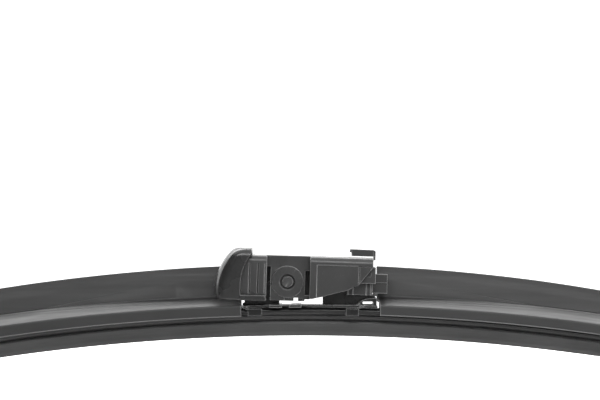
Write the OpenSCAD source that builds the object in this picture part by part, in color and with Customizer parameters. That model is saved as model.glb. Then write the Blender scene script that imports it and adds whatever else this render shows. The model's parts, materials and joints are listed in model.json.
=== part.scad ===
// Flat windscreen wiper blade with a top-lock arm connector.
// The origin is the middle of the pivot axis. +X runs along the blade towards the wiper arm,
// +Y points to the lee side of the wind spoiler and +Z points away from the glass. Millimetres.

/* [Blade] */
// Length of the rubber, measured along the rails
blade_length = 400; // [300:10:500]
// Radius of the curve that the rails are bent to
bend_radius = 642; // [560:1:1200]
// Radius that the top edge of the spoiler is trimmed to, so that it gets lower towards the ends
ridge_radius = 585; // [560:1:640]
// Width of the spoiler at its foot
spoiler_w = 16.8; // [16.4:0.1:17]

/* [Rubber and rails] */
// Width of one spring rail
rail_w = 6.1; // [5:0.1:6.1]
// Thickness of a spring rail
rail_t = 0.9; // [0.7:0.05:0.9]
// Thickness of the wiping lip at its edge
lip_t = 0.7; // [0.5:0.05:1]

/* [Connector] */
// Tilt of the connector on its pivot, with the arm's end lower
tilt = 2.1; // [0:0.1:3]
// Width of the connector inside the wiper arm
body_w = 17.7; // [17.2:0.1:18]
// Width of the nose cap, level with the outside of the arm
nose_w = 20.8; // [20.4:0.1:21.4]
// Wall thickness of the connector's mouldings
wall = 1.5; // [1.2:0.05:1.6]
// Radius of the pivot rivet
pin_r = 2; // [1.6:0.05:2]

/* [End caps] */
// Wall thickness of an end cap
cap_wall = 0.9; // [0.7:0.05:1.2]

/* [Hidden] */
$fn = 64;
fine = 720;                   // facets of the blade's long curves in a preview
far = 60;                     // longer than any cut that has to run right through
gap = 0.05;                   // play between pieces that are assembled and stay put

// Heights at the crown of the blade, measured from the pivot axis
rail_z = -8.65;               // middle of the rails
ridge_z = 5.1;                // top edge of the spoiler
skirt_z = -9.85;              // lower edge of the spoiler
lip_z = -16.3;                // wiping edge
rail_top = rail_z + rail_t / 2;
rail_foot = rail_z - rail_t / 2;
arc_z = rail_z - bend_radius; // centre of the blade's curve
flange_top = -5.8;            // above this the spoiler is fin, and below it is flange

// Sections of the blade
rail_edge = 7.2;              // outer edge of the rails from the centre line
head_h = 1.9;                 // half width of the rubber's head
head_t = 0.55;                // thickness of the head above the rails
mouth_h = 3.3;                // half width of the opening that the rubber hangs through

// Where the parts stop along the rails
half_length = blade_length / 2;
spoiler_start_left = 14;
fin_start_right = 27.1;
flange_start_right = 27.8;
spoiler_end = half_length - 16;
cap_start = spoiler_end - 6.5;
clip_start = half_length - 11;
clip_w = 6;
cap_play = 0.2;               // play at the rubber's end inside the cap

// Bridge bracket
bracket_left = -13.7;
bracket_right = 27;
plate_top = -6.85;
plate_foot = -7.6;
plate_h = 8;                  // half width of the plate
claw_left = [-12, -7.7];
claw_right = [17.5, 21.4];
claw_top = -7.85;
claw_h = 8.6;                 // outside of the claws from the centre line
claw_t = 0.9;                 // thickness of a claw under the rails
eye_r = 3.5;                  // outside of the eye for the rivet
wall_in = 3.1;                // inner and outer face of the upright walls
wall_out = 4.3;
bush_r = 2.9;                 // outside of the bush on the rivet
rivet_h = 5.8;                // half length of the rivet without its chamfers

// Connector, in its own level frame before the tilt
top_w = 7.9;                  // top face, under the arm's roof
roof_foot = top_w - wall;     // underside of its roof
foot_w = -5.7;                // lower edge of the side walls
body_h = body_w / 2;
nose_h = nose_w / 2;
neck_h = 6.15;                // half width of the neck that holds the pivot
cheek_in = 4.6;               // inner face of the neck's cheeks
boss_r = 4.8;                 // raised ring round the rivet
bore_play = 0.06;             // running play between the rivet and the bore
collar_end = -6.3;
neck_end = 6.7;
body_end = 25.7;
edge_r = 2;                   // rounding along the body's top edges
groove_foot = -3.6;           // span of the upright grooves in the collar
groove_top = 5.4;

// Nose
nose_top = 9.45;
nose_start = -17.5;           // where its rounded front corners begin
corner_r = 3.5;               // radius of these corners
nose_bow_r = 28.4;            // bow of its front in plan
nose_bow_x = 7;               // and the centre of the bow
nose_back_r = 15.58;          // curved edge where the arm's end meets the nose
nose_back = [1.53, -1.09];    // and its centre
nose_back_edge = -10.9;       // upright back edge of its top
nose_front_r = 18.67;         // front of the nose
nose_front = [-2.68, -3.88];  // and its centre

// Latch and insert
hinge_x = 9.25;               // living hinge of the latch
hinge_w = 7.2;
hinge_r = 0.68;
tongue_h = 4;                 // half width of the latch tongue
slot_w = 1.1;                 // slots beside the tongue
pad_left = 18.5;
pad_right = 26.4;
pad_foot = 8.3;
pad_top = 10.4;
pad_h = 3.9;                  // half width of the release pad
guide_x = 17.9;               // front of the insert
guide_h = 5.2;                // half width of its lower part, between the bracket's lugs
guide_foot = -3.4;
tail_end = 30.2;

function deg_at(s) = s / bend_radius * 180 / PI;
function arc(c, r, a0, a1, n) = [for (i = [0:n]) let(a = a0 + (a1 - a0) * i / n) c + r * [cos(a), sin(a)]];

// Sweeps a section drawn as (y, z) at the crown along the blade's curve, from s0 to s1 along the rails.
module along_blade(s0, s1)
    translate([0, 0, arc_z])
        multmatrix([[0, 1, 0, 0], [0, 0, 1, 0], [1, 0, 0, 0], [0, 0, 0, 1]])
            rotate_extrude(angle = deg_at(s1 - s0), start = deg_at(s0), $fn = fine)
                translate([-arc_z, 0]) mirror([1, -1, 0]) children();

// Extrudes a side view drawn as (x, z) from y0 to y1.
module across(y0, y1)
    translate([0, y1, 0]) rotate([90, 0, 0]) linear_extrude(y1 - y0) children();

// Extrudes a section drawn as (y, z) from x0 to x1.
module along_x(x0, x1)
    multmatrix([[0, 0, 1, x0], [1, 0, 0, 0], [0, 1, 0, 0], [0, 0, 0, 1]])
        linear_extrude(x1 - x0) children();

module both_sides() {
    children();
    mirror([0, 1, 0]) children();
}

// A box given by its lowest and highest corner.
module block(low, high) translate(low) cube(high - low);

// A rectangle given by its lowest and highest corner.
module plate(low, high) translate(low) square(high - low);

// An upright section with rounded top corners.
module rounded_top(half_w, top, r, foot) {
    plate([-half_w, foot], [half_w, top - r]);
    plate([r - half_w, foot], [half_w - r, top]);
    for (s = [-1, 1]) translate([s * (half_w - r), top - r]) circle(r);
}

// ---- Rubber and rails ----

// Half of the rubber's outline, from the top down: head, web between the rails, shoulder, neck, lip.
function rubber_flank() = [
    [head_h, rail_top + head_t], [head_h, rail_top + gap], [1, rail_top + gap], [1, rail_foot - gap],
    [3, rail_foot - gap], [3, -11], [2.6, -11.4], [0.5, -11.4], [0.5, -11.9], [2.7, -11.9], [2.9, -12.1],
    [2.9, -12.6], [1.9, -13.5], [1.2, -14.3], [lip_t / 2 + 0.15, -15.2], [lip_t / 2, lip_z]];

module wiper_rubber() color([0.10, 0.10, 0.10]) along_blade(-half_length, half_length) {
    flank = rubber_flank();
    n = len(flank);
    polygon(concat(flank, [for (i = [1:n]) [-flank[n - i].x, flank[n - i].y]]));
}

module rail(side) color([0.25, 0.25, 0.26])
    along_blade(-half_length + 1, half_length - 1)
        plate([side > 0 ? rail_edge - rail_w : -rail_edge, rail_foot],
              [side > 0 ? rail_edge : rail_w - rail_edge, rail_top]);

// ---- Spoiler ----

// Outline of the spoiler: flange on the windward side, hollow curve, leaning fin and lee slope.
// It can be grown by g all round, for the end caps that fit over it.
module spoiler_outline(g = 0) {
    h = spoiler_w / 2;
    polygon(concat(
        [[0.3 - h, skirt_z - g], [-h - g, skirt_z + 0.3]],
        arc([0.5 - h, -7.1], 0.5 + g, 180, 102, 4),
        arc([0.15, -1.2], 3.6 - g, -78, -17, 8),
        [[4.2 - g, 0], [4.65 - g, 2.4]],
        arc([5.2, ridge_z - 0.4], 0.4 + g, 165, 10, 5),
        [[5.9 + g, 1.5], [6.3 + g, -1.5], [6.9 + g, -4.5], [7.7 + g, -6.8], [h + g, -8.4],
         [h + g, skirt_z + 0.3], [h - 0.3, skirt_z - g]]));
}

// The channel that grips the rails and clears the rubber's head.
module rail_channel() {
    plate([-rail_edge - gap, rail_foot - gap], [rail_edge + gap, rail_top + gap]);
    plate([-head_h - 0.2, rail_foot], [head_h + 0.2, rail_top + 1]);
    plate([-mouth_h, skirt_z - 1], [mouth_h, rail_foot]);
}

// Everything under the trimmed ridge line, which is raised by lift.
module under_ridge(lift)
    translate([0, 0, ridge_z + lift - ridge_radius]) rotate([90, 0, 0])
        cylinder(r = ridge_radius, h = far, center = true, $fn = fine);

// One length of spoiler, from s0 to s1 along the rails.
module spoiler(s0, s1) color([0.16, 0.16, 0.17]) intersection() {
    along_blade(s0, s1) difference() {
        spoiler_outline();
        rail_channel();
    }
    under_ridge(0);
}

// The length towards the arm, cut upright, with its flange shorter than its fin.
module arm_side_spoiler() color([0.16, 0.16, 0.17]) difference() {
    spoiler(fin_start_right - 1, spoiler_end);
    block([0, -far, -far], [fin_start_right, far, far]);
    block([0, -far, -far], [flange_start_right, far, flange_top]);
}

// ---- Ends of the blade ----

// Section of an end cap's room for the rails, the rubber and the clip.
module cap_room() {
    h = spoiler_w / 2 + 2 * gap;
    foot = skirt_z - 2 * gap;
    polygon([[-h, foot], [-h, -6.9], [0.4 - h, -6.5], [0.6, -4.6], [7, -4.6], [7.9, -6.8], [h, -8.2],
             [h, foot]]);
}

// Section of its room for the spoiler's fin.
module cap_fin_room()
    polygon([[0.5, -4.8], [2.1, -4.1], [3.05, -3.1], [3.5, -2.2], [4.05, 0], [4.45, 2.2], [6, 2.2],
             [6.45, -1.5], [7, -4.4], [7, -4.8]]);

// Moulded cap that slips over the end of the spoiler and rails.
module end_cap(side) color([0.12, 0.12, 0.12]) mirror([side > 0 ? 0 : 1, 0, 0])
    intersection() {
        difference() {
            along_blade(cap_start, half_length + cap_play + cap_wall) spoiler_outline(cap_wall);
            along_blade(cap_start - 1, half_length + cap_play) cap_room();
            along_blade(cap_start - 1, spoiler_end + 0.5) cap_fin_room();
            along_blade(cap_start - 1, half_length + cap_play) plate([-mouth_h, -20], [mouth_h, rail_foot]);
        }
        under_ridge(cap_wall);
    }

// Steel clip that is crimped round both rails so that the rubber can't creep out.
module end_clip(side) color([0.55, 0.55, 0.57]) mirror([side > 0 ? 0 : 1, 0, 0])
    along_blade(clip_start, clip_start + clip_w) difference() {
        union() {
            plate([-rail_edge - 0.6, rail_foot - 0.6], [rail_edge + 0.6, rail_top + 0.6]);
            plate([-head_h - 0.8, rail_top], [head_h + 0.8, rail_top + 1.4]);
        }
        plate([-rail_edge - gap, rail_foot - gap], [rail_edge + gap, rail_top + gap]);
        plate([-head_h - 0.2, rail_foot], [head_h + 0.2, rail_top + 0.9]);
        plate([-mouth_h, skirt_z - 1], [mouth_h, rail_foot]);
    }

// ---- Bridge bracket ----

// Plate over the rubber's head, which stands on the rails on two long ribs.
module bracket_plate() along_blade(bracket_left, bracket_right) {
    plate([-plate_h, plate_foot], [plate_h, plate_top]);
    for (s = [0, 1]) mirror([s, 0]) plate([4.6, rail_top + gap], [5.8, plate_foot + gap]);
}

// A pair of claws bent round the outer edges of the rails.
module claw_pair(reach) both_sides() along_blade(reach[0], reach[1]) difference() {
    plate([rail_edge - 2, rail_foot - claw_t], [claw_h, claw_top]);
    plate([0, rail_foot - gap], [rail_edge + gap, 0]);
}

// The strap that runs down from the channel to a claw.
module claw_strap(x_claw, x_root) both_sides() across(rail_edge + 0.1, claw_h - 0.3)
    polygon([[x_root, -7], [x_root, -7.7], [x_claw, claw_top - 0.7], [x_claw, claw_top]]);

// Side view of the gap under the raised end of the plate.
module bracket_window() plate([22.6, -7.05], [25.8, -6.1]);

// Side view of an upright wall: the eye for the rivet on the left and the stiffener on the right.
module bracket_wall_side() {
    difference() {
        union() {
            circle(eye_r);
            polygon([[-13.6, -7.2], [-13.6, -6.4], [-13, -6.2], [-13, -5], [-8, -1.5], [-2.2, 2.7],
                     [2.6, -2.3], [-1.9, -4.4], [-2.5, -5.4], [-2.5, -7.2]]);
        }
        circle(pin_r + 0.01);
    }
    difference() {
        polygon([[10.6, -7.2], [10.6, -4.6], [12.3, -3.2], [16.5, -1.9], [20, -2.3], [25.8, -3.9], [26.7, -5],
                 [26.7, -7.4], [20, -7.4]]);
        bracket_window();
    }
}

// Raised lugs at the arm's end of the channel, open below.
module end_lugs() both_sides() across(5.6, 7.2) difference() {
    polygon([[20.2, -7.2], [21.4, -6.3], [22.6, -5.55], [24, -5.2], [26.8, -5], [26.8, -7.5]]);
    bracket_window();
}

// Wings that guide the connector's side walls.
module bracket_wings() both_sides() {
    block([-5.5, plate_h - 0.2, plate_foot], [-1.75, 10.1, plate_top]);
    block([0.5, plate_h - 0.2, plate_foot], [4.1, 8.7, plate_top]);
}

module bridge_bracket() color([0.14, 0.14, 0.15]) {
    difference() {
        union() {
            bracket_plate();
            claw_pair(claw_left);
            claw_pair(claw_right);
            claw_strap(claw_left[0] + 0.5, bracket_left + 0.2);
            claw_strap(claw_right[1] - 0.5, claw_right[1] + 1.4);
            both_sides() across(wall_in, wall_out) bracket_wall_side();
            end_lugs();
            bracket_wings();
        }
        across(-far, far) bracket_window();
    }
}

// Plain rivet with chamfered ends.
module pivot_rivet() color([0.2, 0.2, 0.21]) rotate([90, 0, 0]) {
    cylinder(r = pin_r, h = 2 * rivet_h, center = true);
    for (s = [0, 1]) mirror([0, 0, s]) translate([0, 0, rivet_h])
        cylinder(r1 = pin_r, r2 = pin_r - 0.35, h = 0.35);
}

module spacer_bush() color([0.6, 0.6, 0.62]) rotate([90, 0, 0]) difference() {
    cylinder(r = bush_r, h = 2 * (wall_in - gap), center = true);
    cylinder(r = pin_r + 0.01, h = far, center = true);
}

// ---- Connector ----

// Puts a connector piece, drawn level, at the connector's tilt.
module tilted() rotate([0, tilt, 0]) children();

// Collar that the nose cap grips. Its front edge follows the end of the arm.
module collar() {
    intersection() {
        difference() {
            along_x(-16, collar_end) rounded_top(body_h, top_w, edge_r, foot_w);
            along_x(-17, collar_end - 1.2) rounded_top(body_h - wall, roof_foot, 1, -far);
            block([-far, -cheek_in, -far], [0, cheek_in, roof_foot]);
        }
        across(-far, far) {
            translate(nose_back) circle(nose_back_r - gap);
            plate([-14, -far], [0, nose_back[1]]);
        }
    }
    block([-14.7, -6.3, roof_foot], [-10, 1.6, top_w - gap]);
}

// Lowered strip of the collar's roof that keeps the seat for the arm clear of the nose.
module roof_step() block([-far, -far, top_w - 0.3], [nose_back_edge + gap, far, far]);

// Ribs on the centre line under the roof, on both sides of the rivet's bush.
module inner_ribs() across(-0.6, 0.6) {
    plate([-12, -1], [-bush_r - 0.5, roof_foot + gap]);
    plate([bush_r + 0.5, -4.2], [8.4, roof_foot + gap]);
}

// Shallow upright grooves in the collar's sides.
module collar_grooves() both_sides() {
    block([-11.7, body_h - 0.2, groove_foot], [-11.3, body_h + 1, groove_top]);
    block([-9.1, body_h - 0.3, groove_foot], [-8.8, body_h + 1, groove_top]);
    block([-7, body_h - 0.15, groove_foot], [-6.7, body_h + 1, groove_top]);
}

// Side view of one cheek of the neck, free at its sides so that it can spring over the rivet.
module cheek_side() {
    plate([-5.15, foot_w], [5.3, roof_foot]);
    plate([collar_end - 0.1, 4.5], [neck_end + 0.1, roof_foot]);
    plate([5, 3.5], [neck_end + 0.1, 5]);
    plate([5, -5.1], [neck_end + 0.1, -3.8]);
}

// Neck with its two cheeks, each with a bore for the rivet.
module neck() difference() {
    union() {
        block([collar_end - 0.1, -neck_h, roof_foot], [neck_end + 0.1, neck_h, top_w]);
        both_sides() across(cheek_in, neck_h) cheek_side();
        both_sides() across(neck_h - 0.1, neck_h + 0.2) circle(boss_r);
    }
    rotate([90, 0, 0]) cylinder(r = pin_r + bore_play, h = far, center = true);
    both_sides() translate([0, neck_h + 0.21, 0]) rotate([90, 0, 0])
        cylinder(r1 = pin_r + bore_play + 0.4, r2 = pin_r + bore_play, h = 0.4);
    both_sides() block([-0.8, neck_h - 0.4, -far], [4.6, neck_h + 1, -4.9]);
    both_sides() block([2, cheek_in - 1, -far], [3.3, neck_h + 1, -4.7]);
}

// Lower edge of the side plates, which climbs towards the arm.
module under_side_plates() across(-far, far)
    polygon([[5.4, -4.9], [7.5, -4.9], [10.4, -4.2], [18, -2.05], [21.3, -0.55], [24.8, 3.9], [26, 5.4],
             [26, -far], [5.4, -far]]);

// Wide part inside the arm, slit to free the latch.
module sleeve() difference() {
    along_x(neck_end, body_end) rounded_top(body_h, top_w, edge_r, -9);
    along_x(neck_end + 1.2, far) rounded_top(body_h - wall, roof_foot, 1, -far);
    block([0, -cheek_in, -far], [far, cheek_in, roof_foot]);
    under_side_plates();
    block([hinge_x, -tongue_h - slot_w, 0], [far, tongue_h + slot_w, far]);
    both_sides() block([7.45, tongue_h, 0], [far, tongue_h + slot_w, far]);
    translate([hinge_x, 0, hinge_w]) rotate([90, 0, 0])
        cylinder(r = hinge_r + 0.08, h = 2 * tongue_h, center = true);
    both_sides() {
        block([21.35, body_h - 0.35, -1], [21.65, body_h + 1, 5]);
        block([21.65, body_h - 0.2, -1], [24.9, body_h + 1, 5.1]);
        block([8.8, body_h - 0.12, -far], [21.35, body_h + 1, groove_top]);
    }
}

// Openings and moulding marks in the top face of the neck.
module neck_top_marks() {
    both_sides() block([-3, 2.1, 0], [3.2, 4.85, far]);
    translate([-0.5, 0.2, top_w - 0.35]) difference() {
        cylinder(r = 1.55, h = 1);
        translate([0, 0, -1]) cylinder(r = 1.1, h = 3);
    }
    block([3.6, -2, top_w - 0.15], [9, 2.1, far]);
}

module adapter_body() color([0.2, 0.2, 0.2]) tilted() difference() {
    union() {
        difference() {
            collar();
            collar_grooves();
            roof_step();
        }
        inner_ribs();
        neck();
        sleeve();
    }
    neck_top_marks();
}

// Side view of the nose: a bulging front, a flat top, the curved edge for the arm and a low lip.
module nose_side() difference() {
    intersection() {
        translate(nose_front) circle(nose_front_r);
        polygon([[-22, -5], [-20.2, -5.55], [collar_end, -5.9], [collar_end, nose_top], [-22, nose_top]]);
    }
    intersection() {
        union() {
            translate(nose_back) circle(nose_back_r);
            plate([-14.05, -far], [far, nose_back[1]]);
            plate([nose_back_edge, 0], [far, far]);
        }
        polygon([[-15, -3.7], [-13.9, -3.7], [-13, -4], [far, -4], [far, far], [-15, far]]);
    }
}

// Plan view of the nose, with a bowed front and rounded corners, made smaller by inset all round.
module nose_plan(inset) intersection() {
    translate([nose_bow_x, 0]) circle(nose_bow_r - inset);
    union() {
        plate([nose_start, inset - nose_h], [far, nose_h - inset]);
        plate([nose_start - corner_r + inset, corner_r - nose_h], [far, nose_h - corner_r]);
        for (s = [-1, 1]) translate([nose_start, s * (nose_h - corner_r)]) circle(corner_r - inset);
    }
}

// Room inside the nose for the spoiler's end.
module nose_hollow() intersection() {
    linear_extrude(far, center = true) nose_plan(wall);
    across(-far, far) {
        difference() {
            translate(nose_front) circle(nose_front_r - wall);
            plate([-far, nose_top - wall], [far, far]);
        }
        plate([-14.2, -far], [0, -1]);
        plate([-19, -far], [0, -3.4]);
    }
    block([-far, -far, -far], [far, far, nose_top - wall]);
}

module nose_cap() color([0.13, 0.13, 0.13]) tilted() difference() {
    intersection() {
        across(-nose_h, nose_h) nose_side();
        along_x(-far, 0) rounded_top(nose_h, nose_top, 3, -far);
        linear_extrude(far, center = true) nose_plan(0);
    }
    nose_hollow();
    block([-far, -nose_h + wall, -far], [-17, nose_h - wall, -3]);
    block([-far, 1.4, -far], [-16.5, nose_h - wall, 8.1]);
}

// Side view of the release pad: a hook at the left and a lip that joins the tongue at the right.
module pad_side()
    polygon([[pad_left, pad_top - 0.9], [pad_left + 0.2, pad_top], [pad_right - 0.5, pad_top - 0.1],
             [pad_right, pad_top - 0.5], [pad_right, hinge_w], [pad_right - 0.5, hinge_w],
             [pad_right - 0.6, pad_foot], [pad_left + 0.7, pad_foot], [pad_left + 0.6, pad_top - 1]]);

// Springy tongue with the release pad that clicks into the arm's window.
module latch_tongue() color([0.22, 0.22, 0.22]) tilted() {
    translate([hinge_x, 0, hinge_w]) rotate([90, 0, 0])
        cylinder(r = hinge_r, h = 2 * (tongue_h - 0.05), center = true);
    difference() {
        block([hinge_x, gap - tongue_h, hinge_w - hinge_r], [25.2, tongue_h - gap, top_w - gap]);
        block([18.2, -far, hinge_w], [19.3, far, far]);
    }
    block([25.1, gap - pad_h, hinge_w], [pad_right - 0.1, pad_h - gap, top_w - gap]);
    difference() {
        across(-pad_h, pad_h) pad_side();
        for (s = [-1, 1], x = [pad_left, pad_right])
            translate([x, s * pad_h, pad_top]) rotate([0, 0, 45]) cube([1, 1, 4], center = true);
    }
}

// Insert between the side plates, with the tail loop that guides the blade into the arm.
module guide_block() color([0.18, 0.18, 0.18]) tilted() {
    difference() {
        union() {
            block([guide_x, gap - body_h + wall, 0.2], [body_end, body_h - wall - gap, 2.3]);
            block([guide_x, -guide_h, guide_foot], [body_end, guide_h, 0.3]);
            both_sides() block([body_end - 0.7, 5.3, 0.2], [body_end + 0.8, body_h - wall - gap, 5.1]);
            along_x(body_end - 0.1, tail_end)
                polygon([[-3.2, -2.8], [0.7, -1.9], [2.2, -0.6], [2.2, 3.1], [-3.2, 3.1]]);
        }
        both_sides() block([17, 2.95, -far], [far, 4.75, 0.4]);
        block([17, -2.95, -far], [body_end - 0.1, 2.95, -2.8]);
        block([26.1, -2, -far], [28.2, 1.1, far]);
    }
    both_sides() for (x = [18.1, 19.6, 23.6, 24.9])
        block([x, guide_h - 0.1, guide_foot], [x + 0.4, guide_h + 0.15, 0.3]);
}

wiper_rubber();
rail(-1);  // rail_front
rail(1);  // rail_rear
spoiler(-spoiler_end, -spoiler_start_left);  // spoiler_left
arm_side_spoiler();  // spoiler_right
end_cap(-1);  // end_cap_left
end_cap(1);  // end_cap_right
end_clip(-1);  // end_clip_left
end_clip(1);  // end_clip_right
bridge_bracket();
pivot_rivet();
spacer_bush();
adapter_body();
nose_cap();
latch_tongue();
guide_block();
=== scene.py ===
"""Looks of a flat windscreen wiper blade with a top-lock arm connector.

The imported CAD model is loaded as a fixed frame. The long parts of the blade are swept again along the same
curve with finer sections, the nose gets a mesh of its own, and the other moulded and pressed parts are
copied from the frame with rounded edges. Every piece gets a procedural material.

Outlines, and the constants whose comment says mm, are in millimetres. Everything else is in metres.
"""

import json
import math

import bmesh
import bpy
from mathutils import Matrix, Vector


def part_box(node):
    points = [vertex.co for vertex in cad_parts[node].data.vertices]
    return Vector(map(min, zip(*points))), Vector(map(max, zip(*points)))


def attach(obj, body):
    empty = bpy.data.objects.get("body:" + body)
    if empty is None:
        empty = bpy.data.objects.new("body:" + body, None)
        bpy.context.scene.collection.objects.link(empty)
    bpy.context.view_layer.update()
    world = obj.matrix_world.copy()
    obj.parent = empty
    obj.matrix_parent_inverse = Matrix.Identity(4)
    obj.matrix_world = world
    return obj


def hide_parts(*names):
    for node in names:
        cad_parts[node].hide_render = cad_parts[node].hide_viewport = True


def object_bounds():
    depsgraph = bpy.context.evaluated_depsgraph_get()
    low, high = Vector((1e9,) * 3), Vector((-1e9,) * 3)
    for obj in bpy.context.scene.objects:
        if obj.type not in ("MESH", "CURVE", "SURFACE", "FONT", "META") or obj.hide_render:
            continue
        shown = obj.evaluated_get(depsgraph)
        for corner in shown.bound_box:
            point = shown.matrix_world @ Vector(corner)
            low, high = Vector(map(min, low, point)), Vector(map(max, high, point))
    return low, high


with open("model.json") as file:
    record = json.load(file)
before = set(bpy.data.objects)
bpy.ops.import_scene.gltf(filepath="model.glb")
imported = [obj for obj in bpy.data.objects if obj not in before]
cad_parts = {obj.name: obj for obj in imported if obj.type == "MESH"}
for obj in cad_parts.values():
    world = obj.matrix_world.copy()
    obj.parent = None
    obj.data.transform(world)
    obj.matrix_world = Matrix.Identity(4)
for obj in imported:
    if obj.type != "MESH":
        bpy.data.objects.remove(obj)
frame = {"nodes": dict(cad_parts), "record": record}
cad_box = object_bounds()
NODES = frame["nodes"]
MM = 0.001
RAIL_THICKNESS = 0.9 * MM
TILTED = Matrix.Rotation(math.radians(2.1), 4, "Y")    # the connector's tilt against the blade


# ---------------------------------------------------------------- the blade's curve, read from the frame

def bend_of(node):
    """Radius of a rail's top face and the height of the curve's centre."""
    vertices = [v.co for v in NODES[node].data.vertices]
    end = max(vertices, key=lambda p: p.x)
    crown = max(p.z for p in vertices)
    drop = crown - end.z
    radius = (end.x**2 + drop**2) / (2 * drop)
    return radius, crown - radius


RAIL_TOP_RADIUS, CENTRE_Z = bend_of("rail_front")
RAIL_TOP = RAIL_TOP_RADIUS + CENTRE_Z
RAIL_RADIUS = RAIL_TOP_RADIUS - RAIL_THICKNESS / 2    # lengths along the blade are measured here


def angle_at(x, height):
    """Angle along the curve of the place at x, for something at that height at the crown."""
    return math.asin(x / (height - CENTRE_Z))


def on_blade(angle, y, z):
    """The place of a section point (y, z), given at the crown, further along the curve."""
    reach = z - CENTRE_Z
    return Vector((reach * math.sin(angle), y, CENTRE_Z + reach * math.cos(angle)))


# ---------------------------------------------------------------- mesh helpers

STRAIGHT = math.radians(179.5)    # a corner opener than this isn't rounded


def fillet(corners, steps):
    """Turns corners given as (y, z, radius) in mm into the points of a rounded outline in metres."""
    outline = []
    count = len(corners)
    for i, (y, z, radius) in enumerate(corners):
        here = Vector((y, z))
        before = (Vector(corners[i - 1][:2]) - here).normalized()
        after = (Vector(corners[(i + 1) % count][:2]) - here).normalized()
        turn = before.angle(after)
        if radius <= 0 or turn > STRAIGHT:
            outline.append(here * MM)
            continue
        reach = radius / math.tan(turn / 2)
        start = here + before * reach
        centre = here + (before + after).normalized() * (radius / math.sin(turn / 2))
        sweep_by = (start - centre).angle_signed(here + after * reach - centre)
        for step in range(steps + 1):
            spoke = (start - centre).copy()
            spoke.rotate(Matrix.Rotation(-sweep_by * step / steps, 2))
            outline.append((centre + spoke) * MM)
    return outline


def new_object(name, data):
    piece = bpy.data.objects.new(name, data)
    bpy.context.scene.collection.objects.link(piece)
    return piece


def object_from(name, shape):
    """Turns a finished bmesh into an object."""
    mesh = bpy.data.meshes.new(name)
    shape.to_mesh(mesh)
    shape.free()
    return new_object(name, mesh)


def mirrored(half):
    """Corners of a section that is the same on both sides, from those of one side."""
    return half + [(-y, z, radius) for y, z, radius in reversed(half)]


def smooth(mesh, degrees=35):
    """Smooth shading that keeps edges sharper than this angle."""
    mesh.shade_smooth()
    mesh.set_sharp_from_angle(angle=math.radians(degrees))


def sweep(name, outline, angles, lift=lambda y, z, angle: z, start=None):
    """Sweeps a closed outline along the blade's curve and closes its ends.

    outline is a list of points, or a function that gives such a list at an x along the rails. lift may
    change a point's height from place to place. start gives the x that a point of that height begins at,
    for a piece whose first end is cut off upright.
    """
    shape = bmesh.new()
    section = outline if callable(outline) else lambda x: outline

    def add_point(angle, y, z):
        return shape.verts.new(on_blade(angle, y, lift(y, z, angle)))

    rings = []
    if start is not None:
        rings.append([add_point(angle_at(start(z), z), y, z) for y, z in section(start(0))])
    for angle in angles:
        rings.append([add_point(angle, y, z) for y, z in section(RAIL_RADIUS * angle)])
    count = len(rings[0])
    for ring, following in zip(rings, rings[1:]):
        for i in range(count):
            j = (i + 1) % count
            shape.faces.new((ring[i], ring[j], following[j], following[i]))
    for ring in (rings[0], rings[-1]):
        shape.faces.new(ring)
    bmesh.ops.triangulate(shape, faces=[f for f in shape.faces if len(f.verts) > 4])
    bmesh.ops.recalc_face_normals(shape, faces=shape.faces)
    piece = object_from(name, shape)
    smooth(piece.data)
    return piece


def stations(first, last, spacing):
    """Evenly spaced angles between two, about spacing apart along the rails."""
    count = max(2, round(abs(last - first) * RAIL_RADIUS / spacing))
    return [first + (last - first) * i / count for i in range(count + 1)]


def split_at(outlines, height, gap=0.02 * MM):
    """Adds a pair of close points wherever the first outline crosses a height, so that it may step there.

    The other outlines get points at the same places along them, so that they all keep the same count.
    """
    first = outlines[0]
    results = [[] for _ in outlines]
    for i, here in enumerate(first):
        j = (i + 1) % len(first)
        shares = [0]
        if (here.y - height) * (first[j].y - height) < 0:
            way = 1 if first[j].y > here.y else -1
            shares += [(height + side * way * gap - here.y) / (first[j].y - here.y) for side in (-1, 1)]
        for result, outline in zip(results, outlines):
            result.extend(outline[i].lerp(outline[j], share) for share in shares)
    return results


def apply_modifiers(piece):
    """Replaces a piece's mesh by what its modifiers make of it."""
    depsgraph = bpy.context.evaluated_depsgraph_get()
    mesh = bpy.data.meshes.new_from_object(piece.evaluated_get(depsgraph))
    piece.modifiers.clear()
    piece.data = mesh


def soften(piece, width, degrees=30, segments=2):
    """Rounds the edges sharper than an angle and evens out the shading."""
    smooth(piece.data, 40)
    bevel = piece.modifiers.new("edges", "BEVEL")
    bevel.width = width
    bevel.segments = segments
    bevel.limit_method = "ANGLE"
    bevel.angle_limit = math.radians(degrees)
    bevel.use_clamp_overlap = False
    bevel.harden_normals = True
    even = piece.modifiers.new("even", "WEIGHTED_NORMAL")
    even.mode = "FACE_AREA"
    even.weight = 100
    even.keep_sharp = True
    bpy.context.view_layer.update()
    apply_modifiers(piece)


def rounded_copy(node, width):
    """A copy of a CAD node with its edges rounded."""
    piece = new_object(node + "_rounded", NODES[node].data.copy())
    shape = bmesh.new()
    shape.from_mesh(piece.data)
    bmesh.ops.remove_doubles(shape, verts=shape.verts, dist=0.002 * MM)
    shape.to_mesh(piece.data)
    shape.free()
    soften(piece, width)
    return piece


def block(name, low, high, width):
    """A rounded block of the connector, between two corners in mm in its level frame."""
    shape = bmesh.new()
    bmesh.ops.create_cube(shape, size=MM)
    low, high = Vector(low), Vector(high)
    shape.transform(Matrix.Translation((low + high) / 2 * MM) @ Matrix.Diagonal((*(high - low), 1)))
    piece = object_from(name, shape)
    soften(piece, width * MM, segments=3)
    piece.data.transform(TILTED)
    return piece


# ---------------------------------------------------------------- materials

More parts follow.
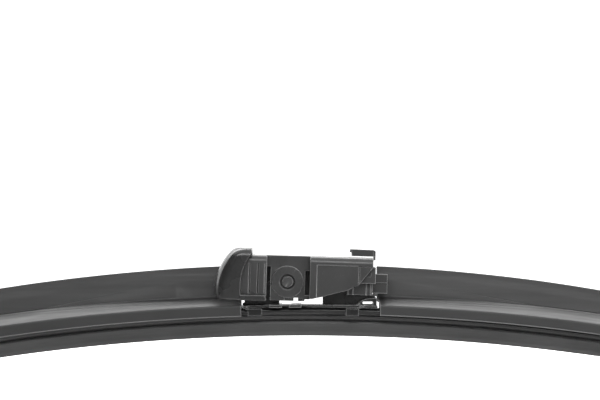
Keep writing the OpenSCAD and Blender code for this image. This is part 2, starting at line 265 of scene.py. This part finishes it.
class Nodes:
    """Small helper that builds a material's node tree."""

    def __init__(self, name):
        self.material = bpy.data.materials.new(name)
        self.material.use_nodes = True
        self.tree = self.material.node_tree
        self.shader = self.tree.nodes["Principled BSDF"]
        self.place = self.add("ShaderNodeTexCoord").outputs["Object"]

    def add(self, kind, **values):
        node = self.tree.nodes.new(kind)
        for key, value in values.items():
            setattr(node, key, value)
        return node

    def link(self, source, target):
        self.tree.links.new(source, target)

    def scaled(self, scale):
        """Object coordinates stretched by a scale per axis."""
        mapping = self.add("ShaderNodeMapping")
        mapping.inputs["Scale"].default_value = scale
        self.link(self.place, mapping.inputs["Vector"])
        return mapping.outputs["Vector"]

    def noise(self, scale, detail=3.0, stretch=(1, 1, 1), roughness=0.5):
        noise = self.add("ShaderNodeTexNoise")
        noise.inputs["Scale"].default_value = scale
        noise.inputs["Detail"].default_value = detail
        noise.inputs["Roughness"].default_value = roughness
        self.link(self.scaled(stretch), noise.inputs["Vector"])
        return noise.outputs["Fac"]

    def ramp(self, source, low, high, first, last):
        """Maps source from low..high to the values or colours first..last."""
        ramp = self.add("ShaderNodeMapRange")
        ramp.inputs["From Min"].default_value = low
        ramp.inputs["From Max"].default_value = high
        ramp.inputs["To Min"].default_value = first
        ramp.inputs["To Max"].default_value = last
        self.link(source, ramp.inputs["Value"])
        return ramp.outputs["Result"]

    def mix(self, amount, one, other):
        """Mixes two colours by a 0..1 source."""
        mix = self.add("ShaderNodeMix", data_type="RGBA")
        self.link(amount, mix.inputs["Factor"])
        for socket, value in ((mix.inputs["A"], one), (mix.inputs["B"], other)):
            if isinstance(value, tuple):
                socket.default_value = (*value, 1)
            else:
                self.link(value, socket)
        return mix.outputs["Result"]

    def edges(self, reach):
        """Near 1 on outside edges and corners, 0 on open faces."""
        probe = self.add("ShaderNodeAmbientOcclusion", samples=8, inside=True, only_local=True)
        probe.inputs["Distance"].default_value = reach
        return self.ramp(probe.outputs["AO"], 0.95, 0.55, 0, 1)

    def hollows(self, reach):
        """Near 1 deep in grooves and gaps, 0 on open faces."""
        probe = self.add("ShaderNodeAmbientOcclusion", samples=8)
        probe.inputs["Distance"].default_value = reach
        return self.ramp(probe.outputs["AO"], 0.7, 0.2, 0, 1)

    def bump(self, height, strength, distance, normal=None):
        bump = self.add("ShaderNodeBump")
        bump.inputs["Strength"].default_value = strength
        bump.inputs["Distance"].default_value = distance
        self.link(height, bump.inputs["Height"])
        if normal is not None:
            self.link(normal, bump.inputs["Normal"])
        return bump.outputs["Normal"]


PAINTED_EDGE_HIGHLIGHT = 0.30      # painted highlight on the outside edges of dark plastic
PAINTED_RUBBER_EDGE_HIGHLIGHT = 0.16    # painted highlight on the outside edges of rubber
PAINTED_GROOVE_SHADE = 0.006     # painted shade deep in the grooves of plastic
EDGE_REACH = {"plastic": 0.25 * MM, "rubber": 0.3 * MM, "metal": 0.2 * MM}    # width of an outside edge's painted highlight
HOLLOW_REACH = 1.5 * MM    # width of a groove that gets painted shade
GRAIN_HEIGHT = 0.03 * MM
STREAK_HEIGHT = 0.02 * MM
BRUSH_HEIGHT = 0.01 * MM
ALONG = (0.012, 1, 1)      # stretches a noise into streaks along the blade


def grey(level):
    return (level, level, level)


def plastic(name, shade, roughness, grain=0.4, grain_size=0.22 * MM, edge=PAINTED_EDGE_HIGHLIGHT):
    """Moulded plastic: fine spark-eroded grain, slight colour drift, a painted highlight on its outside
    edges and painted shade deep in its grooves.
    """
    n = Nodes(name)
    drift = n.noise(90, detail=4)
    colour = n.mix(drift, grey(shade * 0.8), grey(shade * 1.2))
    specks = n.ramp(n.noise(2600, detail=2), 0.66, 0.74, 0, 1)
    speckled = n.mix(specks, colour, grey(shade * 1.9))
    # painted highlight: outside edges made lighter, standing in for rim reflections
    edge_highlighted = n.mix(n.edges(EDGE_REACH["plastic"]), speckled, grey(edge))
    # painted shade: grooves and gaps darkened, with less specular reflection in them
    deep = n.hollows(HOLLOW_REACH)
    n.link(n.mix(deep, edge_highlighted, grey(PAINTED_GROOVE_SHADE)), n.shader.inputs["Base Color"])
    n.link(n.ramp(deep, 0, 1, 0.5, 0.15), n.shader.inputs["Specular IOR Level"])
    handled = n.noise(160, detail=5)
    n.link(n.ramp(handled, 0.3, 0.7, roughness - 0.06, roughness + 0.06), n.shader.inputs["Roughness"])
    fine = n.noise(1 / grain_size, detail=3, roughness=0.6)
    n.link(n.bump(fine, grain, GRAIN_HEIGHT), n.shader.inputs["Normal"])
    return n.material


def extruded_rubber(name, shade, roughness, lines):
    """Extruded rubber: faint lines along its length, a dusty bloom, a painted highlight on its outside edges
    and small pores.
    """
    n = Nodes(name)
    bloom = n.ramp(n.noise(45, detail=5, stretch=(1, 3, 3)), 0.35, 0.75, 0, 1)
    colour = n.mix(bloom, grey(shade * 0.85), grey(shade * 1.25))
    # painted highlight: outside edges of the rubber made lighter
    rubber_edge_highlighted = n.mix(n.edges(EDGE_REACH["rubber"]), colour, grey(PAINTED_RUBBER_EDGE_HIGHLIGHT))
    n.link(rubber_edge_highlighted, n.shader.inputs["Base Color"])
    streaks = n.noise(900, detail=3, stretch=ALONG)
    n.link(n.ramp(streaks, 0.3, 0.7, roughness - 0.05, roughness + 0.05), n.shader.inputs["Roughness"])
    pores = n.noise(4200, detail=2)
    streaked = n.bump(streaks, lines, STREAK_HEIGHT)
    n.link(n.bump(pores, 0.15, STREAK_HEIGHT, streaked), n.shader.inputs["Normal"])
    return n.material


def metal(name, shade, roughness, metallic=1.0, brushed=(0.03, 1, 1)):
    """Steel with a fine directional finish, a few darker stains and a painted highlight on its outside
    edges.
    """
    n = Nodes(name)
    n.shader.inputs["Metallic"].default_value = metallic
    stain = n.ramp(n.noise(150, detail=4), 0.4, 0.75, 0, 1)
    stained = n.mix(stain, grey(shade), grey(shade * 0.7))
    # painted highlight: outside edges of the steel made lighter
    edge_highlighted_steel = n.mix(n.edges(EDGE_REACH["metal"]), stained, grey(min(1, shade * 4)))
    n.link(edge_highlighted_steel, n.shader.inputs["Base Color"])
    brush = n.noise(1500, detail=3, stretch=brushed)
    n.link(n.ramp(brush, 0.3, 0.7, roughness - 0.08, roughness + 0.08), n.shader.inputs["Roughness"])
    n.link(n.bump(brush, 0.2, BRUSH_HEIGHT), n.shader.inputs["Normal"])
    return n.material


MATERIALS = {
    "wiping_rubber": extruded_rubber("wiping_rubber", shade=0.052, roughness=0.46, lines=0.3),
    "spoiler_rubber": extruded_rubber("spoiler_rubber", shade=0.014, roughness=0.56, lines=0.2),
    "cap_plastic": plastic("cap_plastic", shade=0.020, roughness=0.42),
    "body_plastic": plastic("body_plastic", shade=0.030, roughness=0.33),
    "nose_plastic": plastic("nose_plastic", shade=0.019, roughness=0.28, grain=0.12),
    "latch_plastic": plastic("latch_plastic", shade=0.028, roughness=0.42),
    "block_plastic": plastic("block_plastic", shade=0.022, roughness=0.42),
    # a plastic's edge is the shade of the painted highlight on its outside edges
    "coated_steel": plastic(
        "coated_steel", shade=0.006, roughness=0.28, grain=0.3, grain_size=0.4 * MM, edge=0.25
    ),
    "spring_steel": metal("spring_steel", shade=0.05, roughness=0.36),
    "clip_steel": metal("clip_steel", shade=0.55, roughness=0.3),
    "rivet_steel": metal("rivet_steel", shade=0.08, roughness=0.36, metallic=0.6, brushed=(1, 0.05, 1)),
}
SLOT_OF = {part["node"]: part["material_slot"] for part in frame["record"]["subparts"]}
BODY_OF = {node: body for body, nodes in frame["record"]["behaviour"]["bodies"].items() for node in nodes}


def dress(piece, node):
    """Gives a piece the material, slot and body of the CAD node that it stands for."""
    piece.data.materials.clear()
    piece.data.materials.append(MATERIALS[SLOT_OF[node]])
    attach(piece, BODY_OF[node])
    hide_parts(node)
    return piece


# ---------------------------------------------------------------- swept parts

# Heights in mm are those at the crown, where the pivot is. The ridge is trimmed along a tighter curve than
# the blade's own, so that the fin gets lower towards the ends.
RIDGE_TOP = 5.0            # mm
RIDGE_FOOT = -3.5          # mm, nothing below this is lowered with the ridge
RIDGE_RADIUS = 585 * MM
RIDGE_RADIUS_RIGHT = 535 * MM    # towards the arm

# The spoiler's section, as corners (y, z, radius) in mm, from its windward foot up and over the fin.
# A small bead runs along the foot. The slope is low beside the connector, to clear it, and full beyond.
WINDWARD_FOOT = [(-7.5, -9.85, 0.15), (-8.55, -9.7, 0.08), (-8.55, -9.62, 0.03), (-8.4, -9.32, 0.03)]
WINDWARD_CORNER = (-8.4, -6.6, 0.7)
SLOPE_NEAR = [(-6.25, -6.1, 3), (-4.2, -5.7, 3), (-3.1, -5.5, 2), (-2.0, -5.3, 0.5), (3.0, -4.27, 0.6)]
SLOPE_FAR = [(-6.25, -5.9, 3), (-4.2, -5.0, 3), (-3.1, -4.3, 2), (-2.3, -3.65, 0.6), (3.1, -3.6, 0.6)]
SLOPE_GROWS = (31, 75)     # mm from the pivot, where it passes from the one to the other
FIN = [(3.75, 1.0, 10), (4.3, 3.2, 4), (5.3, 5.1, 0.35), (5.8, 5.1, 0.2), (6.0, 1.5, 12)]
LEE_SIDE = [(6.9, -4.5, 9), (7.7, -6.8, 3), (8.4, -8.5, 1.0), (8.4, -9.5, 0.2), (7.5, -9.85, 0.15)]
UNDERSIDE_HALF = [
    (3.3, -9.85, 0.2), (3.3, -9.15, 0), (7.25, -9.15, 0), (7.25, -8.15, 0),
    (2.1, -8.15, 0), (2.1, -7.25, 0.3),
]
SKIRT_FOOT = -9.85         # mm
SKIRT_EDGE = -9.3          # mm, the corners below this belong to the skirt's lower edge
FIN_BASE = -4              # mm, roughly where the fin starts
CORNER_LOWER = 0.2         # mm by which the windward corner lies lower on the side away from the arm
SKIRT_LOWER = 0.45         # mm by which the skirt hangs lower there
FLANGE_TOP = -5.8          # mm, above this the spoiler is fin
FLANGE_SHORTER = 0.7       # mm by which the flange starts later than the fin, towards the arm
FIN_LONGER = 1.1           # mm by which the foot of the fin starts sooner, between the heights of its tab
FIN_TAB = (-4.15, -2.9)    # mm

# One side of the wiping rubber's section: head, neck, shoulder, groove, hinge and lip.
RUBBER_HALF = [
    (1.9, -7.65, 0.2), (1.9, -8.15, 0.1), (1, -8.15, 0), (1, -9.15, 0), (3, -9.15, 0.1),
    (3, -9.8, 0.05), (1.7, -9.8, 0.05), (1.7, -10.25, 0.05), (3, -10.25, 0.06), (3, -10.95, 0.3),
    (2.6, -11.35, 0.2), (0.5, -11.35, 0.12), (0.5, -11.95, 0.12), (2.72, -11.95, 0.03),
    (2.88, -12.25, 0.05), (2.9, -12.6, 0.4), (1.9, -13.5, 0.8), (1.2, -14.3, 0.8), (0.5, -15.2, 0.8),
    (0.35, -16.4, 0.05),
]
RUBBER_HEAD = -7.7         # mm, where the rubber's length is measured
RAIL_CORNER = 0.3          # mm
SPOILER_SPACING = 2.0 * MM    # between the sections along the blade
SPACING = 3.0 * MM


def ridge_height(angle):
    """Height at the crown that the trimmed ridge has at an angle, in mm."""
    radius = RIDGE_RADIUS if angle < 0 else RIDGE_RADIUS_RIGHT
    offset = RIDGE_TOP * MM - radius - CENTRE_Z
    reach = offset * math.cos(angle) + math.sqrt(radius**2 - (offset * math.sin(angle)) ** 2)
    return (reach + CENTRE_Z) / MM


def lower_fin(y, z, angle):
    """Lowers the fin towards the blade's ends, in proportion."""
    foot = RIDGE_FOOT * MM
    if z <= foot:
        return z
    share = (ridge_height(angle) - RIDGE_FOOT) / (RIDGE_TOP - RIDGE_FOOT)
    return foot + (z - foot) * share


def spoiler_sections(lower_corner, lower_skirt):
    """Outlines beside the connector and further out, with the windward corner and the skirt lowered."""
    y, z, radius = WINDWARD_CORNER
    corner = (y, z - lower_corner, radius)
    sections = []
    for slope in (SLOPE_NEAR, SLOPE_FAR):
        corners = [*WINDWARD_FOOT, corner, *slope, *FIN, *LEE_SIDE, *mirrored(UNDERSIDE_HALF)]
        lowered = [(y, z - lower_skirt if z < SKIRT_EDGE else z, radius) for y, z, radius in corners]
        sections.append(fillet(lowered, steps=8))
    return sections


def between(near, far):
    """A function that gives the outline at an x, passing from one to the other."""
    first, last = SLOPE_GROWS

    def section(x):
        share = min(1, max(0, (abs(x) / MM - first) / (last - first)))
        return [one.lerp(other, share) for one, other in zip(near, far)]
    return section


def make_left_spoiler(node):
    low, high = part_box(node)
    section = between(*spoiler_sections(CORNER_LOWER, SKIRT_LOWER))
    angles = stations(angle_at(high.x, SKIRT_FOOT * MM), angle_at(low.x, FIN_BASE * MM), SPOILER_SPACING)
    dress(sweep(node + "_skin", section, angles, lower_fin), node)


def make_right_spoiler(node):
    """The spoiler towards the arm, whose end at the connector is cut upright, with a tab on the fin."""
    low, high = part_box(node)

    def start(z):
        if z < FLANGE_TOP * MM:
            return low.x + FLANGE_SHORTER * MM
        if FIN_TAB[0] * MM < z < FIN_TAB[1] * MM:
            return low.x - FIN_LONGER * MM
        return low.x

    sections = spoiler_sections(0, 0)
    for height in (FLANGE_TOP, *FIN_TAB):
        sections = split_at(sections, height * MM)
    first = angle_at(low.x + SPOILER_SPACING, FIN_BASE * MM)
    angles = stations(first, angle_at(high.x, FIN_BASE * MM), SPOILER_SPACING)
    dress(sweep(node + "_skin", between(*sections), angles, lower_fin, start), node)


def make_rubber(node):
    end = angle_at(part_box(node)[1].x, RUBBER_HEAD * MM)
    section = fillet(mirrored(RUBBER_HALF), steps=5)
    dress(sweep(node + "_profile", section, stations(-end, end, SPACING)), node)


def make_rail(node):
    low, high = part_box(node)
    near, far = low.y / MM, high.y / MM
    top = RAIL_TOP / MM
    foot = top - RAIL_THICKNESS / MM
    corners = [(near, foot), (far, foot), (far, top), (near, top)]
    section = fillet([(y, z, RAIL_CORNER) for y, z in corners], steps=4)
    end = angle_at(high.x, RAIL_TOP)
    dress(sweep(node + "_strip", section, stations(-end, end, SPACING)), node)


make_left_spoiler("spoiler_left")
make_right_spoiler("spoiler_right")
make_rail("rail_front")
make_rail("rail_rear")
make_rubber("wiper_rubber")

# ---------------------------------------------------------------- moulded and pressed parts

# The nose, in mm in the connector's level frame.
NOSE_FOOT = -5.7
NOSE_TOP = 9.9
NOSE_HALF = 10.4
NOSE_WALL = 1.4
NOSE_ROUNDING = 0.18                 # of the shell's own edges
NOSE_FRONT = (-2.7, -3.9, 19.1)      # x, z and radius of the bulge of its front
NOSE_BACK = (1.53, -1.09, 15.58)     # and of the curved edge that meets the arm
NOSE_BACK_FOOT = NOSE_BACK[0] - NOSE_BACK[2]
NOSE_BACK_TOP = -10.9
NOSE_CORNER = 3.2                    # rounding of the front corners in plan
NOSE_BOW = 0.5                       # of the front in plan
NOSE_TOP_EDGES = (2.6, 1.2)          # rounding along the top, at the sides and in front
NOSE_FOOT_EDGES = (0.3, 0.9)         # and along the foot
NOSE_LEVELS = [                      # closer together where the walls bend
    -5.7, -5.6, -5.4, -5.1, -4.7, -4.1, -3.0, -1.8, -0.6, 0.6, 1.8, 3.0, 4.1, 5.1, 6.0, 6.7, 7.3, 7.8, 8.3,
    8.8, 9.2, 9.5, 9.7, 9.83, 9.9,
]
NOSE_FRONT_SHARES = [-0.7, -0.35, 0, 0.19, 0.45, 0.75]    # places across the front, share of its width
NOSE_SIDE_STEPS = 6
NOSE_CORNER_STEPS = 8

# Its opening for the spoiler's end.
SIDES_CLOSED = 3                     # how much of the sides stays closed, from the back edge
OPEN_FROM = NOSE_BACK_FOOT - SIDES_CLOSED
OPEN_HALF = NOSE_HALF - NOSE_CORNER
RAMP_TOP = -1.8
FLANGE_HALF = 9
FLANGE_TOPS = (-4.7, -3.0)           # windward and lee
FIN_FACE = 1.2                       # y from which it is open for the fin
FIN_TOP = 7.8

# Two lips that run back from its foot along the sides.
LIP_TOP = -4.1
LIP_END = -6.35
LIP_OVERLAP = 0.6
LIP_DROP = 0.15
LIP_ROUNDING = 0.3


def shrink(distance, radius):
    """How far a rounded edge draws in at a distance from where it ends."""
    short = max(0.0, radius - distance)
    return radius - math.sqrt(radius**2 - short**2)


def nose_ring(z):
    """Outline of the nose at a level, from its back edge on one side round the front to the other side."""
    below_top = NOSE_TOP - z
    above_foot = z - NOSE_FOOT
    half = NOSE_HALF - shrink(below_top, NOSE_TOP_EDGES[0]) - shrink(above_foot, NOSE_FOOT_EDGES[0])
    x, height, radius = NOSE_FRONT
    front = x - math.sqrt(radius**2 - (z - height) ** 2)
    front += shrink(below_top, NOSE_TOP_EDGES[1]) + shrink(above_foot, NOSE_FOOT_EDGES[1])
    back = NOSE_BACK_FOOT
    x, height, radius = NOSE_BACK
    if z > height:
        back = min(NOSE_BACK_TOP, x - math.sqrt(radius**2 - (z - height) ** 2))
    side = front + NOSE_CORNER
    flat = half - NOSE_CORNER
    one = [(back + (side - back) * i / NOSE_SIDE_STEPS, -half) for i in range(NOSE_SIDE_STEPS)]
    for step in range(NOSE_CORNER_STEPS + 1):
        turn = math.pi / 2 * step / NOSE_CORNER_STEPS
        one.append((side - NOSE_CORNER * math.sin(turn), -flat - NOSE_CORNER * math.cos(turn)))
    across = [(front - NOSE_BOW * (1 - share**2), flat * share) for share in NOSE_FRONT_SHARES]
    return [(x, y, z) for x, y in one + across + [(x, -y) for x, y in reversed(one)]]


def is_open(x, y, z):
    """Whether the nose's front is open there, for the spoiler's end."""
    for_ramp = z < RAMP_TOP and abs(y) < OPEN_HALF
    for_flange = z < FLANGE_TOPS[y >= 0] and abs(y) < FLANGE_HALF
    for_fin = z < FIN_TOP and FIN_FACE < y < OPEN_HALF
    return x < OPEN_FROM and (for_ramp or for_flange or for_fin)


def close_top(shape, ring):
    """Closes the nose's roof by strips between the two sides of its top ring."""
    last = len(ring) - 1
    for i in range(len(ring) // 2):
        corners = (ring[i], ring[i + 1], ring[last - 1 - i], ring[last - i])
        if len(set(corners)) == 4:
            shape.faces.new(corners)
        elif len(set(corners)) == 3:
            shape.faces.new(corners[:3])


def make_nose(node):
    shape = bmesh.new()
    rings = [[shape.verts.new(Vector(p) * MM) for p in nose_ring(z)] for z in NOSE_LEVELS]
    for ring, following in zip(rings, rings[1:]):
        for i in range(len(ring) - 1):
            corners = (ring[i], ring[i + 1], following[i + 1], following[i])
            middle = sum((v.co for v in corners), Vector()) / 4 / MM
            if not is_open(*middle):
                shape.faces.new(corners)
    close_top(shape, rings[-1])
    for v in [v for v in shape.verts if not v.link_faces]:
        shape.verts.remove(v)
    bmesh.ops.recalc_face_normals(shape, faces=shape.faces)
    piece = object_from(node + "_shell", shape)
    shell = piece.modifiers.new("shell", "SOLIDIFY")
    shell.thickness = NOSE_WALL * MM
    shell.offset = -1
    apply_modifiers(piece)
    soften(piece, NOSE_ROUNDING * MM, degrees=50)
    piece.data.transform(TILTED)
    dress(piece, node)


def make_nose_lips(node):
    for side in (-1, 1):
        walls = sorted((side * NOSE_HALF, side * (NOSE_HALF - NOSE_WALL)))
        low = (NOSE_BACK_FOOT - LIP_OVERLAP, walls[0], NOSE_FOOT - LIP_DROP)
        high = (LIP_END, walls[1], LIP_TOP)
        dress(block(node + "_lip", low, high, LIP_ROUNDING), node)


# The raised cheeks on the guide block's sides, in mm: from and to along the connector, across and up.
CHEEK_ALONG = (22.4, 25.3)
CHEEK_ACROSS = (5.4, 7.25)
CHEEK_UP = (2.0, 5.0)
CHEEK_ROUNDING = 0.15


def make_guide_cheeks(node):
    for side in (-1, 1):
        across = sorted(side * y for y in CHEEK_ACROSS)
        low = (CHEEK_ALONG[0], across[0], CHEEK_UP[0])
        high = (CHEEK_ALONG[1], across[1], CHEEK_UP[1])
        dress(block(node + "_cheek", low, high, CHEEK_ROUNDING), node)


# The pieces that keep the CAD model's shape, with the width of their rounded edges.
ROUNDED = {
    "adapter_body": 0.14 * MM,
    "latch_tongue": 0.08 * MM,
    "guide_block": 0.12 * MM,
    "bridge_bracket": 0.12 * MM,
    "end_cap_left": 0.25 * MM,
    "end_cap_right": 0.25 * MM,
    "end_clip_left": 0.1 * MM,
    "end_clip_right": 0.1 * MM,
    "pivot_rivet": 0.12 * MM,
    "spacer_bush": 0.1 * MM,
}
for node, width in ROUNDED.items():
    dress(rounded_copy(node, width), node)
make_nose("nose_cap")
make_nose_lips("nose_cap")
make_guide_cheeks("guide_block")

# ---------------------------------------------------------------- studio

STUDIO_HALF = 6
BACKDROP_Y = 4.2
BACKDROP_CURVE = 1.0
BACKDROP_STEPS = 16
FLOOR_GAP = 0.5 * MM
PAPER_FRONT = 0.40     # shade of the floor before the object
PAPER_BEHIND = 0.84    # and behind it
PAPER_FIBRES = 0.03    # how much the fibres vary it
PAPER_GLOW = 1.0       # glow of the floor behind the object and of the wall
PAPER_FADE = (0.02, 0.16)    # y where the one turns into the other, behind the object


def studio():
    """A pale floor that turns into a softly glowing backdrop behind the object."""
    floor_z = cad_box[0][2] - FLOOR_GAP
    shape = bmesh.new()
    path = [(-STUDIO_HALF, 0.0), (BACKDROP_Y, 0.0)]
    for step in range(1, BACKDROP_STEPS + 1):
        turn = math.pi / 2 * step / BACKDROP_STEPS
        path.append((BACKDROP_Y + BACKDROP_CURVE * math.sin(turn), BACKDROP_CURVE * (1 - math.cos(turn))))
    path.append((BACKDROP_Y + BACKDROP_CURVE, STUDIO_HALF))
    rows = [[shape.verts.new((x, y, floor_z + z)) for x in (-STUDIO_HALF, STUDIO_HALF)] for y, z in path]
    for row, following in zip(rows, rows[1:]):
        shape.faces.new((row[0], row[1], following[1], following[0]))
    backdrop = object_from("studio_sweep", shape)
    smooth(backdrop.data, 60)
    backdrop.data.materials.append(paper_material())


def paper_material():
    """Matte paper, grey before the object and glowing white behind it."""
    n = Nodes("studio_paper")
    split = n.add("ShaderNodeSeparateXYZ")
    n.link(n.place, split.inputs["Vector"])
    behind = n.ramp(split.outputs["Y"], *PAPER_FADE, 0, 1)
    fibres = n.mix(n.noise(60, detail=4), grey(PAPER_BEHIND - PAPER_FIBRES), grey(PAPER_BEHIND))
    n.link(n.mix(behind, grey(PAPER_FRONT), fibres), n.shader.inputs["Base Color"])
    n.link(n.ramp(behind, 0, 1, 0, PAPER_GLOW), n.shader.inputs["Emission Strength"])
    n.shader.inputs["Roughness"].default_value = 0.9
    n.shader.inputs["Emission Color"].default_value = (1, 1, 1, 1)
    return n.material


# Each softbox's name, place, aim, size and power in watts.
SOFTBOXES = [
    ("front_above", (0.1, -1.22, 0.76), (0, 0, 0), (1.4, 0.3), 15),
    ("back_above", (0, 0.6, 0.8), (0, 0, 0), (2.2, 0.45), 22),          # mirrored by the spoiler's slope
    ("left_behind", (-0.95, 0.4, 0.3), (0, 0, 0), (0.6, 0.7), 4),       # the nose's front edge
    ("right", (1.1, -0.9, 0.15), (0.05, 0, 0), (0.8, 0.6), 7),
    ("top", (0, -0.1, 1.25), (0, 0, 0), (2.0, 0.7), 8),
    ("fin", (0, -0.8, 1.1), (0, 0, 0), (2.0, 0.3), 3),                  # mirrored by the fin's leaning top
    ("low_right", (0.45, -0.32, 0.0), (0.06, 0, -0.01), (0.3, 0.06), 0.6),
]
WORLD_STRENGTH = 0.06


def softbox(name, place, aim, size, power):
    light = bpy.data.lights.new(name, "AREA")
    light.shape = "RECTANGLE"
    light.size, light.size_y = size
    light.energy = power
    holder = new_object(name, light)
    holder.location = place
    holder.rotation_euler = (Vector(aim) - Vector(place)).to_track_quat("-Z", "Y").to_euler()


def lighting():
    for values in SOFTBOXES:
        softbox(*values)
    world = bpy.data.worlds.new("studio_world")
    world.use_nodes = True
    background = world.node_tree.nodes["Background"]
    background.inputs["Color"].default_value = (1, 1, 1, 1)
    background.inputs["Strength"].default_value = WORLD_STRENGTH
    bpy.context.scene.world = world


CAMERA_DISTANCE = 1.01
CAMERA_LENS = 200      # mm, on a sensor of this width
CAMERA_SENSOR = 36
CAMERA_AIM = Vector((3.97 * MM, 0, 24.68 * MM))   # the middle of the picture, seen from the pivot
CAMERA_PITCH = math.radians(-0.4)
CAMERA_ROLL = math.radians(0.44)


def camera():
    data = bpy.data.cameras.new("camera")
    data.lens = CAMERA_LENS
    data.sensor_width = CAMERA_SENSOR
    data.clip_start = 0.01
    data.clip_end = 20
    holder = new_object("camera", data)
    view = Vector((0, -math.cos(CAMERA_PITCH), math.sin(CAMERA_PITCH)))
    holder.location = CAMERA_AIM + view * CAMERA_DISTANCE
    aimed = (-view).to_track_quat("-Z", "Y").to_matrix().to_4x4()
    holder.matrix_world = Matrix.Translation(holder.location) @ aimed @ Matrix.Rotation(-CAMERA_ROLL, 4, "Z")
    bpy.context.scene.camera = holder


studio()
lighting()
camera()
bpy.context.scene.view_settings.view_transform = "Standard"
